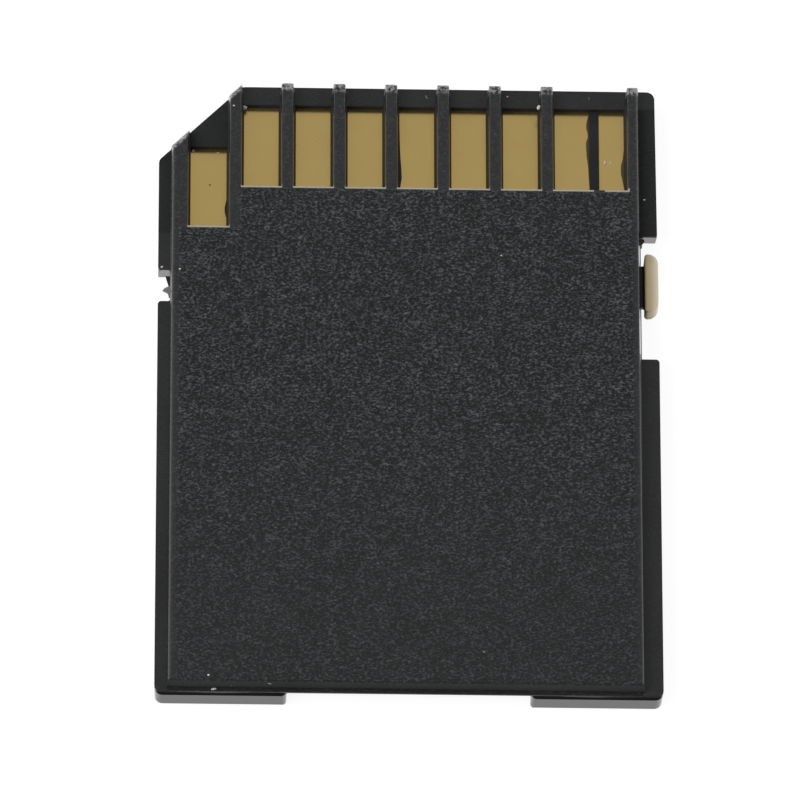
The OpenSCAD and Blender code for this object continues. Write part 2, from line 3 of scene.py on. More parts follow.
import logging
import math
from dataclasses import dataclass
from enum import Enum
from functools import cached_property
from typing import Any

import bpy
from bpy.types import Material, Node, NodeSocket, NodeTree, Object
from mathutils import Matrix, Vector


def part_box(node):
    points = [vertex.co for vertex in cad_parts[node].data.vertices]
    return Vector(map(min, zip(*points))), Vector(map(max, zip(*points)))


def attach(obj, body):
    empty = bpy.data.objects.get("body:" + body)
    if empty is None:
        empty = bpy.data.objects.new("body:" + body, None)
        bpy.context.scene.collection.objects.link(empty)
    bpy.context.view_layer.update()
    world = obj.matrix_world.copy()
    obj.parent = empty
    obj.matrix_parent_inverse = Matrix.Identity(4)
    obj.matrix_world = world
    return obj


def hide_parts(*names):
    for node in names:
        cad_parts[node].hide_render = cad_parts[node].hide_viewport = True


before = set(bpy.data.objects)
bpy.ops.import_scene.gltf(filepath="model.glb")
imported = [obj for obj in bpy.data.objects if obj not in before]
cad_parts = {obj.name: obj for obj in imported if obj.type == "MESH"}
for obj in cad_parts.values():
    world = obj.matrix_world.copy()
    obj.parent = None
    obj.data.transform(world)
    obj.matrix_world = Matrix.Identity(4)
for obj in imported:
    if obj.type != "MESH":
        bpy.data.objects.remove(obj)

MM = 0.001
LOG = logging.getLogger("scene")

# The mix node's sockets for colours, by number, because it has others of the same names.
MIX_SHARE, MIX_LOWER, MIX_UPPER, MIX_RESULT = 0, 6, 7, 2


class Body(Enum):
    """The bodies that pieces ride on."""

    SLEEVE = "sleeve"
    LOCK = "lock"


class Slot(Enum):
    """The record's material slots."""

    CONTACT_SHELL = "contact_shell"
    LABEL_SHELL = "label_shell"
    SLIDER = "slider"
    TERMINALS = "terminals"


class Look(Enum):
    """What a scrap looks like: dark plastic, plastic so thin that gold glows through it, plastic
    turned pale by tearing, or dust."""

    DARK = "dark"
    THIN = "thin"
    TORN = "torn"
    DUST = "dust"


class Flat(Enum):
    """Which faces are shaded flat, by how far their normals point up or down: oblique ones, which
    are narrow and long, or level ones. A blend across them would show as wedges."""

    OBLIQUE = (0.12, 0.995)
    LEVEL = (0.9999, 1.01)


class Join(Enum):
    """How shares are joined: to what lies in all of them, or in any."""

    ALL = "MULTIPLY"
    ANY = "MAXIMUM"


def linear(code: str) -> tuple[float, float, float, float]:
    """Turn an sRGB hex colour into linear values.

    Args:
        code: The colour as six hex digits after a #.

    Returns:
        Red, green and blue, linear, and an alpha of 1.
    """
    shares = [int(code[i:i + 2], 16) / 255 for i in (1, 3, 5)]
    red, green, blue = (s / 12.92 if s <= 0.04045 else ((s + 0.055) / 1.055) ** 2.4
                        for s in shares)
    return red, green, blue, 1.0


class Nodes:
    """A node tree in the making."""

    def __init__(self, tree: NodeTree) -> None:
        """Take up a tree and empty it."""
        self.tree = tree
        tree.nodes.clear()

    def add(self, kind: str, settings: dict[Any, Any] | None = None,
            links: dict[Any, Node | NodeSocket] | None = None) -> Node:
        """Add a node with its settings and links.

        Args:
            kind: The node's type name.
            settings: Values for properties, by name, and for inputs, by name or number.
            links: Sockets to join to inputs, by the inputs' names or numbers. A node stands for
                its first output.

        Returns:
            The new node.
        """
        node = self.tree.nodes.new(kind)
        for key, value in (settings or {}).items():
            if isinstance(key, str) and key not in node.inputs:
                setattr(node, key, value)
            else:
                node.inputs[key].default_value = value
        for key, source in (links or {}).items():
            socket = source.outputs[0] if isinstance(source, Node) else source
            self.tree.links.new(socket, node.inputs[key])
        return node

    @cached_property
    def place(self) -> Node:
        """The place on the object, in millimetres."""
        place = self.add("ShaderNodeTexCoord")
        return self.add("ShaderNodeVectorMath", {"operation": "SCALE", "Scale": 1 / MM},
                        {0: place.outputs["Object"]})

    def join(self, how: Join, first: Node | NodeSocket, *others: Node | NodeSocket) -> Node:
        """Join masks and other shares to one, pair by pair.

        Args:
            how: Whether the result is what lies in all of them, or in any.
            first: The first share.
            others: The shares that are joined to it, in order.

        Returns:
            The node that gives the joined share.
        """
        for share in others:
            first = self.add("ShaderNodeMath", {"operation": how.value}, {0: first, 1: share})
        return first

    def step(self, value: Node | NodeSocket, start: float, end: float) -> Node:
        """Rise smoothly from 0 at start to 1 at end, or fall where end is the smaller.

        Args:
            value: What is compared.
            start: Where the result is 0.
            end: Where the result is 1.

        Returns:
            The node that gives the result.
        """
        return self.add("ShaderNodeMapRange",
                        {"interpolation_type": "SMOOTHSTEP",
                         "From Min": min(start, end), "From Max": max(start, end),
                         "To Min": float(start > end), "To Max": float(end > start)},
                        {"Value": value})


@dataclass(frozen=True)
class Zone:
    """A patch of a moulding, by its limits along X, Y and Z in millimetres."""

    x: tuple[float, float]
    y: tuple[float, float]
    z: tuple[float, float]
    blur: float = 0.06

    def mask(self, nodes: Nodes) -> Node:
        """Give 1 inside the zone and 0 outside it.

        Args:
            nodes: The material's nodes.

        Returns:
            The node that gives the mask.
        """
        parts = nodes.add("ShaderNodeSeparateXYZ", links={"Vector": nodes.place})
        edges = []
        for axis, (low, high) in zip("XYZ", (self.x, self.y, self.z)):
            value = parts.outputs[axis]
            edges.append(nodes.step(value, low - self.blur, low + self.blur))
            edges.append(nodes.step(value, high + self.blur, high - self.blur))
        return nodes.join(Join.ALL, *edges)


@dataclass(frozen=True)
class WindowEdges:
    """The rear edges of a row of windows, where a highlight is painted."""

    middle_x: float
    pitch: float
    half_width: float
    row: Zone

    def mask(self, nodes: Nodes) -> Node:
        """Give 1 on the edges and 0 elsewhere.

        Args:
            nodes: The material's nodes.

        Returns:
            The node that gives the mask.
        """
        parts = nodes.add("ShaderNodeSeparateXYZ", links={"Vector": nodes.place})
        along = nodes.add("ShaderNodeMath", {"operation": "SUBTRACT", 1: self.middle_x},
                          {0: parts.outputs["X"]})
        from_middle = nodes.add("ShaderNodeMath",
                                {"operation": "WRAP", 1: self.pitch / 2, 2: -self.pitch / 2},
                                {0: along})
        apart = nodes.add("ShaderNodeMath", {"operation": "ABSOLUTE"}, {0: from_middle})
        inside = nodes.step(apart, self.half_width, self.half_width - self.row.blur)
        return nodes.join(Join.ALL, inside, self.row.mask(nodes))


@dataclass(frozen=True)
class CutEdge:
    """The edge along the cut corner, on the line y = x + offset, where a highlight is painted."""

    offset_mm: float
    width_mm: float
    from_z_mm: float
    blur: float = 0.1

    def mask(self, nodes: Nodes) -> Node:
        """Give 1 on the edge and 0 away from it.

        Args:
            nodes: The material's nodes.

        Returns:
            The node that gives the mask.
        """
        parts = nodes.add("ShaderNodeSeparateXYZ", links={"Vector": nodes.place})
        moved = nodes.add("ShaderNodeMath", {"operation": "ADD", 1: self.offset_mm},
                          {0: parts.outputs["X"]})
        across = nodes.add("ShaderNodeMath", {"operation": "SUBTRACT"},
                           {0: moved, 1: parts.outputs["Y"]})
        apart = nodes.add("ShaderNodeMath", {"operation": "ABSOLUTE"}, {0: across})
        low, high = self.from_z_mm - self.blur, self.from_z_mm + self.blur
        return nodes.join(Join.ALL,
                          nodes.step(apart, self.width_mm + self.blur, self.width_mm - self.blur),
                          nodes.step(parts.outputs["Z"], low, high))


Mask = Zone | WindowEdges | CutEdge


@dataclass(frozen=True)
class MouldedPlastic:
    """Injection-moulded ABS, dyed through. Polished steel left it smooth, with a crisp gloss, and
    where the tool was spark-eroded it is a fine grain of pits that breaks the gloss into specks.
    The grain carries painted shade, and painted glints on its peaks. What is rubbed most has gone
    satin. Painted highlights lie along rims that catch the light and along the windows' rear edges."""

    name: str
    colour: str
    # The colour of the painted glints on the grain's peaks.
    glint_colour: str
    # Where it is grained, dull and satin, and where highlights are painted on rims and window
    # edges.
    grained: tuple[Mask, ...] = ()
    matt: tuple[Mask, ...] = ()
    satin: tuple[Mask, ...] = ()
    rim_highlights: tuple[Mask, ...] = ()
    edge_highlights: tuple[Mask, ...] = ()
    # The colour of the painted highlight on the windows' rear edges.
    edge_highlight_colour: str = "#c0bfb6"
    satin_colour: str = "#242526"
    # Painted shade over the grain, standing for the shadow held in its pits.
    pit_shade_colour: str = "#0c0c0d"
    # The colour of the painted highlight on rims.
    rim_highlight_colour: str = "#a6a8a5"
    dust_colour: str = "#8c8c88"
    ior: float = 1.51
    smooth_roughness: float = 0.16
    grain_roughness: float = 0.38
    satin_roughness: float = 0.42
    # The dull shader, which the grain's pits have a share of.
    matt_roughness: float = 0.8
    matt_specular: float = 0.25
    pit_dullness: float = 0.5
    # A pit is as wide as in the photo, and wider along X than along Y.
    grain_mm: float = 0.135
    grain_squeeze: float = 1.5
    grain_depth_mm: float = 0.06
    crater_middle: float = 0.5
    crater_weight: float = 0.25
    # Shares of the grain's depth that smooth and satin plastic keep.
    smooth_grain: float = 0.1
    satin_grain: float = 0.22
    # Heights between which the grain's peaks turn to the painted glint colour.
    peak_range: tuple[float, float] = (0.42, 0.82)
    # Patches with thinner or thicker painted glints.
    patch_mm: float = 0.6
    patch_noise: tuple[float, float] = (0.3, 0.7)
    patch_shares: tuple[float, float] = (0.7, 1.3)
    # The grain fades towards the rear, to a share of itself.
    fade_from_mm: float = 0.0
    fade_to_mm: float = -12.0
    fade_share: float = 0.52
    # Slow waves of the surface and of its tint.
    ripple_mm: float = 3.0
    ripple_depth_mm: float = 0.004
    tint_value: float = 0.5
    # Dust: the width of a cell, the share of cells with a speck, and its size in its cell.
    dust_mm: float = 0.7
    dust_share: float = 0.04
    dust_size: float = 0.07
    # Patches of the painted rim highlight.
    rim_highlight_mm: float = 0.16
    rim_highlight_noise: tuple[float, float] = (0.38, 0.62)

    def inside(self, nodes: Nodes, zones: tuple[Mask, ...]) -> Node:
        """Give 1 inside any of some zones, and 0 everywhere where there are no zones.

        Args:
            nodes: The material's nodes.
            zones: What is joined.

        Returns:
            The node that gives the mask.
        """
        nowhere = nodes.add("ShaderNodeValue")
        nowhere.outputs[0].default_value = 0.0
        return nodes.join(Join.ANY, nowhere, *(zone.mask(nodes) for zone in zones))

    def shares(self, nodes: Nodes) -> tuple[Node, Node, Node]:
        """Work out where the surface is grained and satin.

        Args:
            nodes: The material's nodes.

        Returns:
            The grained part, the same with its grain fading, and the satin part, where satin
            gives way to grain.
        """
        parts = nodes.add("ShaderNodeSeparateXYZ", links={"Vector": nodes.place})
        fade = nodes.add("ShaderNodeMapRange",
                         {"From Min": self.fade_to_mm, "From Max": self.fade_from_mm,
                          "To Min": self.fade_share},
                         {"Value": parts.outputs["Y"]})
        grained = self.inside(nodes, self.grained)
        faded = nodes.join(Join.ALL, grained, fade)
        both = nodes.add("ShaderNodeMath", {"operation": "ADD"}, {0: grained, 1: faded})
        # What is left is 1 less the mean of the two.
        left = nodes.add("ShaderNodeMath", {"operation": "MULTIPLY_ADD", 1: -1 / 2, 2: 1.0},
                         {0: both})
        return grained, faded, nodes.join(Join.ALL, self.inside(nodes, self.satin), left)

    def grain(self, nodes: Nodes) -> Node:
        """Height of the spark-eroded grain: rounded craters of one size, broken by finer lumps.

        Args:
            nodes: The material's nodes.

        Returns:
            The node that gives the height, from 0 to about 1.
        """
        squeezed = nodes.add("ShaderNodeMapping", {"Scale": (1.0, self.grain_squeeze, 1.0)},
                             {"Vector": nodes.place})
        lumps = nodes.add("ShaderNodeTexNoise",
                          {"Scale": 1 / self.grain_mm, "Detail": 3.0, "Roughness": 0.62,
                           "Distortion": 0.3}, {"Vector": squeezed})
        craters = nodes.add("ShaderNodeTexVoronoi",
                            {"feature": "SMOOTH_F1", "Scale": 1 / self.grain_mm,
                             "Smoothness": 0.4, "Randomness": 1.0}, {"Vector": squeezed})
        sunk = nodes.add("ShaderNodeMath", {"operation": "SUBTRACT", 1: self.crater_middle},
                         {0: craters})
        return nodes.add("ShaderNodeMath", {"operation": "MULTIPLY_ADD", 1: self.crater_weight},
                         {0: sunk, 2: lumps})

    def peaks(self, nodes: Nodes, grain: Node, depth: Node) -> Node:
        """Painted glints on the grain's peaks, thicker in some patches than in others.

        Args:
            nodes: The material's nodes.
            grain: The grain's height.
            depth: The share of its depth that the grain has here.

        Returns:
            The node that gives the mask.
        """
        patches = nodes.add("ShaderNodeTexNoise", {"Scale": 1 / self.patch_mm, "Detail": 2.0},
                            {"Vector": nodes.place})
        unevenness = nodes.add("ShaderNodeMapRange",
                               {"From Min": self.patch_noise[0], "From Max": self.patch_noise[1],
                                "To Min": self.patch_shares[0], "To Max": self.patch_shares[1]},
                               {"Value": patches})
        return nodes.join(Join.ALL, depth, nodes.step(grain, *self.peak_range), unevenness)

    def dust(self, nodes: Nodes) -> Node:
        """Fine dust: a few pale specks, each in a cell of its own.

        Args:
            nodes: The material's nodes.

        Returns:
            The node that gives the mask.
        """
        cells = nodes.add("ShaderNodeTexVoronoi", {"Scale": 1 / self.dust_mm, "Randomness": 1.0},
                          {"Vector": nodes.place})
        chosen = nodes.add("ShaderNodeSeparateColor", links={"Color": cells.outputs["Color"]})
        picked = nodes.add("ShaderNodeMath", {"operation": "LESS_THAN", 1: self.dust_share},
                           {0: chosen.outputs["Red"]})
        size = nodes.add("ShaderNodeMath", {"operation": "MULTIPLY", 1: self.dust_size},
                         {0: chosen.outputs["Green"]})
        near = nodes.add("ShaderNodeMath", {"operation": "LESS_THAN"}, {0: cells, 1: size})
        return nodes.join(Join.ALL, picked, near)

    def rim_highlight_patches(self, nodes: Nodes) -> Node:
        """Painted highlight, in patches, on the rims that catch the light.

        Args:
            nodes: The material's nodes.

        Returns:
            The node that gives the mask.
        """
        patches = nodes.add("ShaderNodeTexNoise", {"Scale": 1 / self.rim_highlight_mm, "Detail": 3.0},
                            {"Vector": nodes.place})
        return nodes.join(Join.ALL, self.inside(nodes, self.rim_highlights),
                          nodes.step(patches, *self.rim_highlight_noise))

    def tinted(self, nodes: Nodes, tint: Node, layers: tuple[tuple[Node, str], ...]) -> NodeSocket:
        """Lay colours over the plastic's own.

        Args:
            nodes: The material's nodes.
            tint: Noise that makes the plastic's own colour uneven.
            layers: Where each colour lies and which it is, from the lowest to the highest.

        Returns:
            The mixed colour's socket.
        """
        value = nodes.add("ShaderNodeMath", {"operation": "ADD", 1: self.tint_value}, {0: tint})
        colour = nodes.add("ShaderNodeHueSaturation", {"Color": linear(self.colour)},
                           {"Value": value}).outputs["Color"]
        for share, upper in layers:
            colour = nodes.add("ShaderNodeMix", {"data_type": "RGBA", MIX_UPPER: linear(upper)},
                               {MIX_SHARE: share, MIX_LOWER: colour}).outputs[MIX_RESULT]
        return colour

    def roughness(self, nodes: Nodes, grained: Node, satin: Node) -> Node:
        """Roughness of the glossy share.

        Args:
            nodes: The material's nodes.
            grained: Where the surface is grained.
            satin: Where it is satin.

        Returns:
            The node that gives the roughness.
        """
        rise = self.grain_roughness - self.smooth_roughness
        moulded = nodes.add("ShaderNodeMath",
                            {"operation": "MULTIPLY_ADD", 1: rise, 2: self.smooth_roughness},
                            {0: grained})
        rubbed = nodes.add("ShaderNodeMath", {"operation": "MULTIPLY", 1: self.satin_roughness},
                           {0: satin})
        return nodes.join(Join.ANY, moulded, rubbed)

    def build(self) -> Material:
        """Make the material: a glossy and a dull share, of one colour and one relief."""
        material = bpy.data.materials.new(self.name)
        material.use_nodes = True
        nodes = Nodes(material.node_tree)
        grained, faded, satin = self.shares(nodes)
        least = nodes.add("ShaderNodeMath", {"operation": "MAXIMUM", 1: self.smooth_grain},
                          {0: faded})
        depth = nodes.add("ShaderNodeMath", {"operation": "MULTIPLY_ADD", 1: self.satin_grain},
                          {0: satin, 2: least})
        grain = self.grain(nodes)
        ripple = nodes.add("ShaderNodeTexNoise", {"Scale": 1 / self.ripple_mm, "Detail": 2.0},
                           {"Vector": nodes.place})
        colour = self.tinted(nodes, ripple, (
            # Painted shade over the grain.
            (faded, self.pit_shade_colour),
            (satin, self.satin_colour),
            # Painted glints on the grain's peaks.
            (self.peaks(nodes, grain, depth), self.glint_colour),
            (self.dust(nodes), self.dust_colour),
            # Painted highlight on rims.
            (self.rim_highlight_patches(nodes), self.rim_highlight_colour),
            # Painted highlight on the windows' rear edges.
            (self.inside(nodes, self.edge_highlights), self.edge_highlight_colour),
        ))
        waves = nodes.add("ShaderNodeBump",
                          {"Strength": 1.0, "Distance": self.ripple_depth_mm * MM},
                          {"Height": ripple})
        pits = nodes.add("ShaderNodeBump",
                         {"Strength": 1.0, "Distance": self.grain_depth_mm * MM},
                         {"Height": nodes.join(Join.ALL, grain, depth), "Normal": waves})
        glossy = nodes.add("ShaderNodeBsdfPrincipled", {"IOR": self.ior},
                           {"Base Color": colour, "Normal": pits,
                            "Roughness": self.roughness(nodes, grained, satin)})
        dull = nodes.add("ShaderNodeBsdfPrincipled",
                         {"IOR": self.ior, "Roughness": self.matt_roughness,
                          "Specular IOR Level": self.matt_specular},
                         {"Base Color": colour, "Normal": pits})
        dull_pits = nodes.add("ShaderNodeMath", {"operation": "MULTIPLY", 1: self.pit_dullness},
                              {0: grained})
        dullness = nodes.join(Join.ANY, self.inside(nodes, self.matt), dull_pits)
        mixed = nodes.add("ShaderNodeMixShader", links={0: dullness, 1: glossy, 2: dull})
        nodes.add("ShaderNodeOutputMaterial", links={"Surface": mixed})
        return material


@dataclass(frozen=True)
class GoldFlash:
    """Gold flash over nickel on rolled and stamped bronze strip: a warm satin metal with faint
    lines along the roll, in which the plastic beside it shows."""

    name: str = "gold_flash_on_rolled_bronze"
    colour: str = "#ffdf8e"
    thin_colour: str = "#f6d386"
    roughness: tuple[float, float] = (0.19, 0.32)
    # The rolled lines are finer in life, and are drawn this wide so that they show.
    line_mm: float = 0.05
    line_stretch: float = 14.0
    line_depth_mm: float = 0.0006
    patch_mm: float = 1.4

    def build(self) -> Material:
        """Make the material."""
        material = bpy.data.materials.new(self.name)
        material.use_nodes = True
        nodes = Nodes(material.node_tree)
        drawn = nodes.add("ShaderNodeMapping", {"Scale": (1.0, 1 / self.line_stretch, 1.0)},
                          {"Vector": nodes.place})
        lines = nodes.add("ShaderNodeTexNoise", {"Scale": 1 / self.line_mm, "Detail": 2.0},
                          {"Vector": drawn})
        patches = nodes.add("ShaderNodeTexNoise", {"Scale": 1 / self.patch_mm, "Detail": 3.0},
                            {"Vector": nodes.place})
        colour = nodes.add("ShaderNodeMix",
                           {"data_type": "RGBA", MIX_LOWER: linear(self.colour),
                            MIX_UPPER: linear(self.thin_colour)}, {MIX_SHARE: patches})
        roughness = nodes.add("ShaderNodeMapRange",
                              {"To Min": self.roughness[0], "To Max": self.roughness[1]},
                              {"Value": patches})
        rolled = nodes.add("ShaderNodeBump",
                           {"Strength": 1.0, "Distance": self.line_depth_mm * MM},
                           {"Height": lines})
        shader = nodes.add("ShaderNodeBsdfPrincipled", {"Metallic": 1.0},
                           {"Base Color": colour.outputs[MIX_RESULT], "Roughness": roughness,
                            "Normal": rolled})
        nodes.add("ShaderNodeOutputMaterial", links={"Surface": shader})
        return material


@dataclass(frozen=True)
class NaturalAcetal:
    """Acetal moulded in beige: a waxy, slightly translucent plastic that light enters a little
    way. Painted light makes it paler towards its thin outer edge, and painted shade darkens it
    where its neck runs in the gap beside the shell."""

    name: str = "beige_acetal"
    colour: str = "#eedab2"
    handled_colour: str = "#e0ca9e"
    # Painted light, paler towards the thin outer edge.
    thin_colour: str = "#fcf0da"
    lit_edge_x_mm: tuple[float, float] = (11.55, 12.0)
    # Painted shade on the neck, which runs in a narrow gap.
    neck_shade_colour: str = "#3a3226"
    neck_shade_to_x_mm: float = 11.34
    neck_shade_blur_mm: float = 0.03
    ior: float = 1.48
    roughness: float = 0.42
    mottle_mm: float = 0.8
    skin_mm: float = 0.09
    skin_depth_mm: float = 0.002
    scatter_mm: float = 0.3
    scatter_weight: float = 0.25
    scatter_radius: tuple[float, float, float] = (1.0, 0.8, 0.6)

    def build(self) -> Material:
        """Make the material."""
        material = bpy.data.materials.new(self.name)
        material.use_nodes = True
        nodes = Nodes(material.node_tree)
        mottle = nodes.add("ShaderNodeTexNoise", {"Scale": 1 / self.mottle_mm, "Detail": 3.0},
                           {"Vector": nodes.place})
        skin = nodes.add("ShaderNodeTexNoise", {"Scale": 1 / self.skin_mm, "Detail": 2.0},
                         {"Vector": nodes.place})
        x = nodes.add("ShaderNodeSeparateXYZ", links={"Vector": nodes.place}).outputs["X"]
        # Painted light towards the outer edge.
        thin = nodes.step(x, *self.lit_edge_x_mm)
        # Painted shade on the neck.
        neck_shade = nodes.step(x, self.neck_shade_to_x_mm + self.neck_shade_blur_mm,
                           self.neck_shade_to_x_mm - self.neck_shade_blur_mm)
        colour = nodes.add("ShaderNodeMix",
                           {"data_type": "RGBA", MIX_LOWER: linear(self.colour),
                            MIX_UPPER: linear(self.handled_colour)}, {MIX_SHARE: mottle})
        for share, upper in ((thin, self.thin_colour), (neck_shade, self.neck_shade_colour)):
            colour = nodes.add("ShaderNodeMix", {"data_type": "RGBA", MIX_UPPER: linear(upper)},
                               {MIX_SHARE: share, MIX_LOWER: colour.outputs[MIX_RESULT]})
        orange_peel = nodes.add("ShaderNodeBump",
                                {"Strength": 1.0, "Distance": self.skin_depth_mm * MM},
                                {"Height": skin})
        shader = nodes.add("ShaderNodeBsdfPrincipled",
                           {"Roughness": self.roughness, "IOR": self.ior,
                            "Subsurface Weight": self.scatter_weight,
                            "Subsurface Scale": self.scatter_mm * MM,
                            "Subsurface Radius": self.scatter_radius},
                           {"Base Color": colour.outputs[MIX_RESULT], "Normal": orange_peel})
        nodes.add("ShaderNodeOutputMaterial", links={"Surface": shader})
        return material


@dataclass(frozen=True)
class PaleDust:
    """Lint and plastic dust: matt, pale and uneven."""

    name: str = "pale_dust"
    colour: str = "#fbfaf6"
    shaded_colour: str = "#d2cec4"
    lump_mm: float = 0.04
    roughness: float = 0.9

    def build(self) -> Material:
        """Make the material."""
        material = bpy.data.materials.new(self.name)
        material.use_nodes = True
        nodes = Nodes(material.node_tree)
        lumps = nodes.add("ShaderNodeTexNoise", {"Scale": 1 / self.lump_mm, "Detail": 2.0},
                          {"Vector": nodes.place})
        colour = nodes.add("ShaderNodeMix",
                           {"data_type": "RGBA", MIX_LOWER: linear(self.colour),
                            MIX_UPPER: linear(self.shaded_colour)}, {MIX_SHARE: lumps})
        shader = nodes.add("ShaderNodeBsdfPrincipled", {"Roughness": self.roughness},
                           {"Base Color": colour.outputs[MIX_RESULT]})
        nodes.add("ShaderNodeOutputMaterial", links={"Surface": shader})
        return material


def deselect_all() -> None:
    """Leave object mode and select nothing."""
    if bpy.context.object and bpy.context.object.mode != "OBJECT":
        bpy.ops.object.mode_set(mode="OBJECT")
    bpy.ops.object.select_all(action="DESELECT")


def take_up(piece: Object) -> None:
    """Select one piece and make it the active one."""
    deselect_all()
    piece.select_set(True)
    bpy.context.view_layer.objects.active = piece


def apply_modifiers(piece: Object) -> None:
    """Apply all of a piece's modifiers, in their order."""
    take_up(piece)
    for modifier in list(piece.modifiers):
        bpy.ops.object.modifier_apply(modifier=modifier.name)


def finish_piece(piece: Object, material: Material, body: Body) -> None:
    """Give a piece its material, and put it on its body.

    Args:
        piece: The piece, in place.
        material: Its only material.
        body: The body that it rides on.
    """
    piece.data.materials.clear()
    piece.data.materials.append(material)
    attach(piece, body.value)
    LOG.info("%s: %d faces", piece.name, len(piece.data.polygons))


@dataclass
class SoftenedNode:
    """A moulding or stamping with the small radii that its tool leaves on every edge."""

    node: str
    name: str
    body: Body
    slot: Slot
    flat: Flat = Flat.OBLIQUE
    edge_mm: float = 0.04
    edge_segments: int = 2
    sharp_deg: float = 28.0
    # Corners nearer than this are one, and faces nearer to parallel than this are one.
    merge_mm: float = 0.0006
    flat_deg: float = 0.6

    def merge(self, piece: Object) -> None:
        """Join the mesh's loose triangles to flat faces, and leave it in millimetres.

        Args:
            piece: The copy of the node, in metres.
        """
        take_up(piece)
        bpy.ops.object.mode_set(mode="EDIT")
        bpy.ops.mesh.select_mode(type="VERT")
        bpy.ops.mesh.select_all(action="SELECT")
        bpy.ops.transform.resize(value=(1 / MM,) * 3, center_override=(0, 0, 0))
        bpy.ops.mesh.remove_doubles(threshold=self.merge_mm)
        bpy.ops.mesh.dissolve_limited(angle_limit=math.radians(self.flat_deg))
        bpy.ops.object.mode_set(mode="OBJECT")

    def round_edges(self, piece: Object) -> None:
        """Round every sharp edge.

        Args:
            piece: The merged copy, in millimetres.
        """
        bevel = piece.modifiers.new("edges", "BEVEL")
        bevel.width = self.edge_mm
        bevel.segments = self.edge_segments
        bevel.limit_method = "ANGLE"
        bevel.angle_limit = math.radians(self.sharp_deg)
        bevel.use_clamp_overlap = True
        bevel.miter_outer = "MITER_ARC"
        apply_modifiers(piece)

    def shade(self, piece: Object) -> None:
        """Shade it smooth between sharp edges, with the faces that have to stay flat kept so.

        Args:
            piece: The rounded copy.
        """
        bpy.ops.object.shade_smooth_by_angle(angle=math.radians(self.sharp_deg))
        low, high = self.flat.value
        for face in piece.data.polygons:
            face.use_smooth = not low < abs(face.normal.z) < high
        weighted = piece.modifiers.new("normals", "WEIGHTED_NORMAL")
        weighted.keep_sharp = True
        apply_modifiers(piece)

    def build(self) -> Object:
        """Copy the node's mesh, merge it, round its edges and shade it.

        Returns:
            The new piece.
        """
        piece = bpy.data.objects.new(self.name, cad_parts[self.node].data.copy())
        bpy.context.scene.collection.objects.link(piece)
        self.merge(piece)
        self.round_edges(piece)
        self.shade(piece)
        bpy.ops.object.mode_set(mode="EDIT")
        bpy.ops.mesh.select_all(action="SELECT")
        bpy.ops.transform.resize(value=(MM,) * 3, center_override=(0, 0, 0))
        bpy.ops.object.mode_set(mode="OBJECT")
        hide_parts(self.node)
        return piece


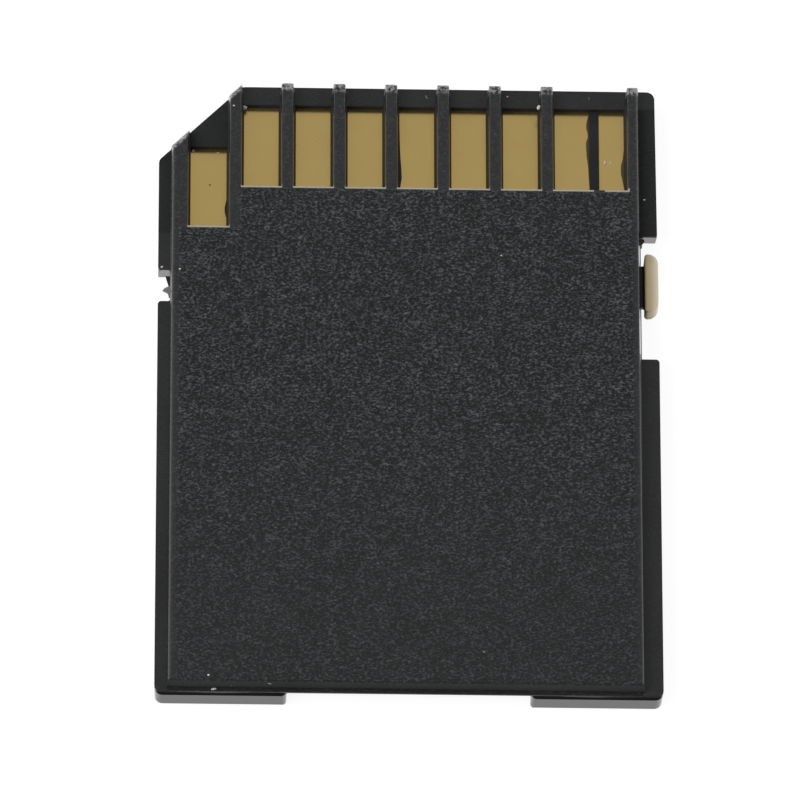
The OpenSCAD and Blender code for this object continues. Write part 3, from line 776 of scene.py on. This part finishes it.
@dataclass
class Sleeve:
    """The two shells: a grained contact side, and a label side with a finely grained recess.

    Places are in millimetres, and y is largest at the windows' end.
    """

    # The grain keeps this clear of the shell's edges, and lies on the plateau's skin alone.
    grain_left_in_mm: float = 1.0
    grain_right_in_mm: float = 1.25
    grain_rear_in_mm: float = 0.34
    grain_skin_mm: float = 0.15
    grain_blur_mm: float = 0.14
    # The windows: those of one row, and the ninth, which begins further back.
    window_rear_y_mm: float = 10.37
    window_front_y_mm: float = 15.06
    window_half_mm: float = 1.0
    window_wall_z_mm: tuple[float, float] = (1.1, 1.88)
    window9_rear_y_mm: float = 8.2
    window9_x_mm: tuple[float, float] = (-10.62, -8.6)
    rib_9_x_mm: float = -8.1
    row_end_x_mm: float = 10.62
    pad_4_x_mm: float = 0.42
    pad_pitch_mm: float = 2.5
    # The painted highlight line on their rear edges.
    line_mm: float = 0.11
    line_blur_mm: float = 0.03
    edge_mm: float = 0.09
    # The dull rear wall, and the satin ledge behind it.
    rear_wall_in_mm: float = 0.3
    rear_wall_from_z_mm: float = 1.45
    rear_ledge_z_mm: tuple[float, float] = (1.3, 1.42)
    matt_to_y_mm: float = -15.56
    wall_margin_mm: float = 0.1
    satin_skin_mm: float = 0.07
    # Painted highlight: on the ribs' heads, and along the cut corner.
    heads_from_y_mm: float = 15.5
    heads_from_z_mm: float = 1.6
    heads_blur_mm: float = 0.12
    cut_offset_mm: float = 24.0
    cut_highlight_mm: float = 0.42
    cut_from_z_mm: float = 1.7
    label_margin_mm: float = 1.5
    label_recess_z_mm: tuple[float, float] = (-1.0, 0.12)
    # A zone that needn't end at a side runs past the shell by this.
    past_mm: float = 1.0

    def contact_finish(self) -> MouldedPlastic:
        """Finish of the contact side: grained behind the windows and clear of its edges.

        Returns:
            The finish.
        """
        low, high = (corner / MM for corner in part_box("contact_side_shell"))
        left, right = low.x + self.grain_left_in_mm, high.x - self.grain_right_in_mm
        rear = -high.y + self.grain_rear_in_mm
        sides = (low.x - self.past_mm, high.x + self.past_mm)
        top, front = high.z + self.past_mm, high.y + self.past_mm
        skin = (high.z - self.grain_skin_mm, top)
        edge_skin = (high.z - self.edge_mm, top)
        row, ninth = self.window_rear_y_mm, self.window9_rear_y_mm
        return MouldedPlastic(
            # Its own colour, then that of the painted glints.
            "black_abs_contact_side", "#2b2c2c", "#6a6f73",
            grained=(Zone((left, right), (rear, ninth - self.edge_mm), skin, self.grain_blur_mm),
                     Zone((self.rib_9_x_mm, right), (rear, row - self.edge_mm), skin,
                          self.grain_blur_mm)),
            matt=(Zone(sides, (rear - self.rear_wall_in_mm, self.matt_to_y_mm),
                       (self.rear_wall_from_z_mm, top)),
                  Zone(sides, (ninth - self.wall_margin_mm, self.window_front_y_mm),
                       self.window_wall_z_mm)),
            satin=(Zone(sides, (self.matt_to_y_mm, front), (high.z - self.satin_skin_mm, top)),
                   Zone(sides, (low.y - self.past_mm, rear), self.rear_ledge_z_mm)),
            rim_highlights=(Zone(sides, (self.heads_from_y_mm, front), (self.heads_from_z_mm, top),
                       self.heads_blur_mm),
                  CutEdge(self.cut_offset_mm, self.cut_highlight_mm, self.cut_from_z_mm)),
            edge_highlights=(WindowEdges(self.pad_4_x_mm, self.pad_pitch_mm, self.window_half_mm,
                                  Zone((self.rib_9_x_mm, self.row_end_x_mm),
                                       (row - self.line_mm, row + self.edge_mm), edge_skin,
                                       self.line_blur_mm)),
                      Zone(self.window9_x_mm, (ninth - self.line_mm, ninth + self.edge_mm),
                           edge_skin, self.line_blur_mm)))

    def label_finish(self) -> MouldedPlastic:
        """Finish of the label side: a finer grain in the label recess.

        Returns:
            The finish.
        """
        low, high = (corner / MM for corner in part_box("label_side_shell"))
        margin = self.label_margin_mm
        recess = Zone((low.x + margin, high.x - margin), (low.y + margin, high.y - margin),
                      self.label_recess_z_mm)
        # Its own colour, then that of the painted glints; the grain also carries painted shade.
        return MouldedPlastic("black_abs_label_side", "#1e1e1f", "#3a3b3c", grained=(recess,),
                              pit_shade_colour="#19191a", pit_dullness=0.0, grain_mm=0.1,
                              grain_depth_mm=0.01, fade_share=1.0)

    def build(self) -> None:
        """Make and dress both shells."""
        contact = SoftenedNode("contact_side_shell", "contact_side_moulding", Body.SLEEVE,
                               Slot.CONTACT_SHELL)
        finish_piece(contact.build(), self.contact_finish().build(), contact.body)
        label = SoftenedNode("label_side_shell", "label_side_moulding", Body.SLEEVE,
                             Slot.LABEL_SHELL)
        finish_piece(label.build(), self.label_finish().build(), label.body)


@dataclass
class Terminals:
    """The stamped terminals, gold flashed, with the edges that a punch rounds."""

    nodes: tuple[str, ...] = ("terminal_1", "terminal_2", "ground_terminal", "terminal_4",
                              "terminal_5", "terminal_7", "terminal_8", "terminal_9")
    edge_mm: float = 0.02

    def build(self) -> None:
        """Make and dress every terminal."""
        material = GoldFlash().build()
        for node in self.nodes:
            stamping = SoftenedNode(node, node + "_stamping", Body.SLEEVE, Slot.TERMINALS,
                                    Flat.LEVEL, self.edge_mm)
            finish_piece(stamping.build(), material, stamping.body)


@dataclass
class LockSlider:
    """The write-protect slider."""

    edge_mm: float = 0.08

    def build(self) -> None:
        """Make and dress the slider."""
        slider = SoftenedNode("lock_slider", "lock_slider_moulding", Body.LOCK, Slot.SLIDER,
                              edge_mm=self.edge_mm)
        finish_piece(slider.build(), NaturalAcetal().build(), slider.body)


@dataclass(frozen=True)
class Flash:
    """A thin film of plastic that crept out at a pad's edge, or where the shells part."""

    name: str
    foot_x_mm: float
    side: int
    rear_y_mm: float
    front_y_mm: float
    reach_mm: float
    reach_shares: tuple[float, ...]
    z_mm: float = 1.05
    thickness_mm: float = 0.02
    sink_mm: float = 0.01
    look: Look = Look.DARK
    sharp_deg: float = 30.0

    def build(self, material: Material) -> None:
        """Make the film from a strip whose free edge is drawn out point by point.

        Args:
            material: Its finish.
        """
        deselect_all()
        steps = len(self.reach_shares) - 1
        length = (self.front_y_mm - self.rear_y_mm) * MM
        root = self.sink_mm * MM
        bpy.ops.mesh.primitive_grid_add(x_subdivisions=1, y_subdivisions=steps, size=1.0,
                                        location=(0, 0, 0))
        piece = bpy.context.object
        piece.name = self.name
        for vertex in piece.data.vertices:
            along = vertex.co.y + 0.5
            reach = self.reach_shares[round(along * steps)] * self.reach_mm * MM
            free = vertex.co.x * self.side > 0
            vertex.co.x = self.foot_x_mm * MM + self.side * (reach if free else -root)
            vertex.co.y = self.rear_y_mm * MM + along * length
            vertex.co.z = self.z_mm * MM - root
        bpy.ops.object.mode_set(mode="EDIT")
        bpy.ops.mesh.select_all(action="SELECT")
        bpy.ops.mesh.extrude_region_move(
            TRANSFORM_OT_translate={"value": (0, 0, root + self.thickness_mm * MM)})
        bpy.ops.mesh.select_all(action="SELECT")
        bpy.ops.mesh.normals_make_consistent(inside=False)
        bpy.ops.object.mode_set(mode="OBJECT")
        bpy.ops.object.shade_smooth_by_angle(angle=math.radians(self.sharp_deg))
        finish_piece(piece, material, Body.SLEEVE)


@dataclass(frozen=True)
class Speck:
    """A crumb of dust or torn plastic, lying on the sleeve."""

    name: str
    x_mm: float
    y_mm: float
    z_mm: float
    length_mm: float
    width_mm: float
    turn_deg: float
    height_mm: float
    seed: int
    look: Look = Look.DUST
    # How far its points are pulled about, and how much of its height lies above its place.
    lumpiness: float = 0.07
    raised_share: float = 1 / 3

    def build(self, material: Material) -> None:
        """Make the crumb: a small ball, pulled out of shape and pressed flat.

        Args:
            material: Its finish.
        """
        deselect_all()
        bpy.ops.mesh.primitive_ico_sphere_add(subdivisions=3, radius=0.5, location=(0, 0, 0))
        piece = bpy.context.object
        piece.name = self.name
        bpy.ops.object.mode_set(mode="EDIT")
        bpy.ops.mesh.select_all(action="SELECT")
        bpy.ops.transform.vertex_random(offset=self.lumpiness, uniform=0.3, normal=0.6,
                                        seed=self.seed)
        bpy.ops.object.mode_set(mode="OBJECT")
        shape = Matrix.Diagonal((self.length_mm * MM, self.width_mm * MM, self.height_mm * MM, 1.0))
        turn = Matrix.Rotation(math.radians(self.turn_deg), 4, "Z")
        centre_z_mm = self.z_mm + self.height_mm * self.raised_share
        place = Matrix.Translation((self.x_mm * MM, self.y_mm * MM, centre_z_mm * MM))
        piece.data.transform(place @ turn @ shape)
        bpy.ops.object.shade_smooth()
        finish_piece(piece, material, Body.SLEEVE)


@dataclass
class Traces:
    """What moulding and handling left on the sleeve: flash on pads and in notches, and crumbs."""

    films: tuple[Flash, ...] = (
        Flash("flash_pad_4", -0.41, 1, 10.84, 14.0, 0.115,
              (0.25, 0.95, 0.75, 0.42, 0.22, 0.1, 0.0)),
        Flash("flash_pad_7", 8.75, -1, 10.95, 14.92, 0.155,
              (0.0, 0.12, 0.2, 0.3, 0.35, 0.45, 0.65, 0.85, 0.9, 1.0, 0.97, 0.4, 0.5, 0.88, 0.85,
               0.5, 0.1), look=Look.THIN),
        Flash("flash_pad_8", 10.41, -1, 10.95, 13.0, 0.145,
              (0.0, 0.3, 0.6, 0.95, 1.0, 0.9, 0.4, 0.2, 0.0), look=Look.THIN),
        Flash("flash_pad_9", -8.75, -1, 9.1, 10.05, 0.08, (0.0, 0.5, 0.9, 1.0, 0.8, 0.4, 0.0)),
        Flash("flash_left_notch", -11.42, -1, 5.1, 5.9, 0.22, (0.0, 0.25, 0.5, 0.8, 1.0), 1.15),
        Flash("curl_left_notch", -11.42, -1, 4.75, 5.35, 0.36, (0.15, 0.2, 0.35, 1.0, 0.8, 0.2),
              1.15, 0.05, look=Look.TORN),
        Flash("flash_lock_notch", 11.13, 1, 7.85, 8.2, 0.24, (0.2, 0.7, 1.0, 0.8), 1.15),
    )
    specks: tuple[Speck, ...] = (
        Speck("speck_pad_1", -7.9, 14.9, 1.28, 0.24, 0.2, 0.0, 0.24, 1),
        Speck("speck_left_ledge", -11.81, 6.27, 1.4, 0.13, 0.1, 20.0, 0.05, 2),
        Speck("speck_left_top", -10.96, 5.84, 2.1, 0.1, 0.08, 0.0, 0.04, 3),
        Speck("speck_right_ledge", 11.36, 10.19, 1.4, 0.1, 0.09, 0.0, 0.04, 4),
        Speck("speck_rear_top", -9.46, -15.37, 2.1, 0.11, 0.09, 0.0, 0.04, 5),
        Speck("speck_rear_edge", -9.2, -15.78, 1.4, 0.24, 0.11, 10.0, 0.06, 6),
        Speck("speck_middle", 4.43, 6.77, 2.1, 0.08, 0.07, 0.0, 0.04, 7),
        Speck("speck_pad_8_left", 9.5, 12.34, 1.05, 0.2, 0.09, 90.0, 0.05, 8),
        Speck("speck_pad_8_right", 9.76, 12.31, 1.05, 0.16, 0.05, 75.0, 0.03, 9),
        Speck("speck_rib_9", -8.43, 14.63, 2.1, 0.1, 0.08, 0.0, 0.04, 10),
        Speck("speck_pad_9_left", -10.36, 12.66, 1.05, 0.15, 0.12, 0.0, 0.12, 11),
        Speck("speck_pad_9_right", -9.16, 12.6, 1.05, 0.1, 0.07, 0.0, 0.05, 12),
        Speck("fibre_bar", 0.88, 15.57, 1.4, 0.24, 0.05, 120.0, 0.04, 13, Look.TORN),
        Speck("speck_bar", 4.8, 15.66, 1.4, 0.08, 0.06, 0.0, 0.03, 14),
        Speck("crumb_rib_6", 6.28, 14.8, 1.95, 0.24, 0.16, 70.0, 0.14, 16),
        Speck("streak_bar", 8.74, 15.62, 1.4, 0.2, 0.03, 95.0, 0.02, 15, Look.TORN),
        Speck("crumb_pad_9", -9.54, 10.87, 1.05, 0.09, 0.07, 0.0, 0.02, 17, Look.THIN),
        Speck("scuff_rear", -6.58, -15.66, 1.84, 0.22, 0.07, -15.0, 0.09, 18, Look.TORN),
    )
    scrap_roughness: float = 0.5

    def build(self) -> None:
        """Make every film and speck, each with the finish of its look."""
        rough = self.scrap_roughness
        finishes = {
            # Each finish's second colour is that of its painted glints.
            Look.DARK: MouldedPlastic("black_abs_flash", "#1b1b1c", "#2c2c2d").build(),
            Look.THIN: MouldedPlastic("thin_abs_flash", "#56472b", "#6f5c3a",
                                      smooth_roughness=rough).build(),
            Look.TORN: MouldedPlastic("torn_abs_flash", "#8a8883", "#b4b2ac",
                                      smooth_roughness=rough).build(),
            Look.DUST: PaleDust().build(),
        }
        for piece in (*self.films, *self.specks):
            piece.build(finishes[piece.look])


@dataclass
class Studio:
    """A white floor and a soft studio: bright to the sides and behind, calmer overhead and near
    the camera."""

    floor_size: float = 6.0
    floor_colour: str = "#f2f2f0"
    white: str = "#ffffff"
    black: str = "#000000"
    fibre_mm: float = 2.0
    # The floor's own light, as the camera sees it and as gloss does, and its share of shadow.
    floor_glow: float = 0.9
    floor_in_gloss: float = 1.15
    floor_shade: float = 0.25
    # Light by height, as the upward part of its direction.
    horizon: float = 1.0
    overhead: float = 0.36
    horizon_end: float = 0.25
    overhead_start: float = 0.8
    # The dimmer part behind the camera, by how far it points to the near side and up.
    near_side: float = 0.3
    near_from: float = 0.1
    near_to: float = 0.5
    near_low: float = 0.05
    near_high: float = 0.2
    key_size: float = 0.5
    key_power: float = 2.2
    key_place: tuple[float, float, float] = (-0.45, -0.25, 0.6)

    def ground(self, nodes: Nodes, ray: Node) -> Node:
        """The white ground, as the camera and gloss see it: its own light, and faint shadow.

        Args:
            nodes: The floor's nodes.
            ray: The node that tells the kinds of rays apart.

        Returns:
            The node that gives the shader.
        """
        power = nodes.add("ShaderNodeMapRange",
                          {"To Min": self.floor_in_gloss, "To Max": self.floor_glow},
                          {"Value": ray.outputs["Is Camera Ray"]})
        glow = nodes.add("ShaderNodeEmission", {"Color": linear(self.white)}, {"Strength": power})
        shade = nodes.add("ShaderNodeBsdfDiffuse", {"Color": linear(self.white)})
        black = nodes.add("ShaderNodeBsdfDiffuse", {"Color": linear(self.black)})
        dim = nodes.add("ShaderNodeMixShader", {0: self.floor_shade}, {1: black, 2: shade})
        return nodes.add("ShaderNodeAddShader", links={0: glow, 1: dim})

    def floor(self) -> None:
        """Lay the floor: white to the camera and to gloss, with the object's shadow kept."""
        deselect_all()
        bpy.ops.mesh.primitive_plane_add(size=self.floor_size, location=(0, 0, 0))
        plane = bpy.context.object
        plane.name = "floor"
        material = bpy.data.materials.new("white_paper_floor")
        material.use_nodes = True
        nodes = Nodes(material.node_tree)
        fibres = nodes.add("ShaderNodeTexNoise", {"Scale": 1 / self.fibre_mm, "Detail": 2.0},
                           {"Vector": nodes.place})
        colour = nodes.add("ShaderNodeMix",
                           {"data_type": "RGBA", MIX_LOWER: linear(self.floor_colour),
                            MIX_UPPER: linear(self.white)}, {MIX_SHARE: fibres})
        paper = nodes.add("ShaderNodeBsdfDiffuse", links={"Color": colour.outputs[MIX_RESULT]})
        ray = nodes.add("ShaderNodeLightPath")
        direct = nodes.join(Join.ANY, ray.outputs["Is Camera Ray"], ray.outputs["Is Glossy Ray"],
                            ray.outputs["Is Transmission Ray"])
        surface = nodes.add("ShaderNodeMixShader",
                            links={0: direct, 1: paper, 2: self.ground(nodes, ray)})
        nodes.add("ShaderNodeOutputMaterial", links={"Surface": surface})
        plane.data.materials.append(material)

    def world(self) -> None:
        """Light the room: white at the horizon, greyer overhead and dark behind the camera."""
        world = bpy.data.worlds.new("studio")
        bpy.context.scene.world = world
        world.use_nodes = True
        nodes = Nodes(world.node_tree)
        way = nodes.add("ShaderNodeTexCoord")
        parts = nodes.add("ShaderNodeSeparateXYZ", links={"Vector": way.outputs["Generated"]})
        level = nodes.add("ShaderNodeMapRange",
                          {"interpolation_type": "SMOOTHSTEP", "From Min": self.horizon_end,
                           "From Max": self.overhead_start, "To Min": self.horizon,
                           "To Max": self.overhead},
                          {"Value": parts.outputs["Z"]})
        near = nodes.join(Join.ALL,
                          nodes.step(parts.outputs["Y"], -self.near_from, -self.near_to),
                          nodes.step(parts.outputs["Z"], self.near_low, self.near_high))
        dimming = nodes.add("ShaderNodeMapRange", {"To Min": 1.0, "To Max": self.near_side},
                            {"Value": near})
        sky = nodes.add("ShaderNodeBackground", {"Color": linear(self.white)},
                        {"Strength": nodes.join(Join.ALL, level, dimming)})
        nodes.add("ShaderNodeOutputWorld", links={"Surface": sky})

    def key_light(self) -> None:
        """Hang one large soft lamp at the upper left."""
        lamp = bpy.data.lights.new("key", "AREA")
        lamp.size = self.key_size
        lamp.energy = self.key_power
        key = bpy.data.objects.new("key", lamp)
        bpy.context.scene.collection.objects.link(key)
        key.location = self.key_place
        key.rotation_euler = (-Vector(self.key_place)).to_track_quat("-Z", "Y").to_euler()

    def build(self) -> None:
        """Set up the floor, the world and the lamp."""
        self.floor()
        self.world()
        self.key_light()


@dataclass
class PhotoCamera:
    """The camera, worked out from the object's outline in the picture."""

    azimuth_deg: float = -3.880
    elevation_deg: float = 64.633
    roll_deg: float = 4.221
    distance_mm: float = 519.192
    target_mm: tuple[float, float, float] = (-0.402, -0.452, 1.05)
    focal_px: float = 10884.77
    image_px: int = 800
    sensor_mm: float = 36.0
    # It sees from this many times nearer than its distance to as many times further.
    clip_span: float = 100.0

    def build(self) -> None:
        """Make the camera and give it to the scene."""
        a, e, r = (math.radians(v) for v in (self.azimuth_deg, self.elevation_deg, self.roll_deg))
        back = Vector((math.sin(a) * math.cos(e), -math.cos(a) * math.cos(e), math.sin(e)))
        level = Vector((math.cos(a), math.sin(a), 0.0))
        upright = back.cross(level)
        right = math.cos(r) * level + math.sin(r) * upright
        up = -math.sin(r) * level + math.cos(r) * upright
        lens = bpy.data.cameras.new("camera")
        lens.sensor_width = self.sensor_mm
        lens.lens = self.focal_px * self.sensor_mm / self.image_px
        lens.clip_start = self.distance_mm * MM / self.clip_span
        lens.clip_end = self.distance_mm * MM * self.clip_span
        camera = bpy.data.objects.new("camera", lens)
        bpy.context.scene.collection.objects.link(camera)
        turn = Matrix((right, up, back)).transposed().to_4x4()
        place = Vector(self.target_mm) * MM + back * self.distance_mm * MM
        camera.matrix_world = Matrix.Translation(place) @ turn
        bpy.context.scene.camera = camera


def main() -> None:
    """Build the pieces in order, and report each one."""
    logging.basicConfig(level=logging.INFO, format="%(name)s %(message)s")
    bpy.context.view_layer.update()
    bpy.context.scene.view_settings.view_transform = "Standard"
    PhotoCamera().build()
    Studio().build()
    Sleeve().build()
    Terminals().build()
    LockSlider().build()
    Traces().build()


if __name__ == "__main__":
    main()
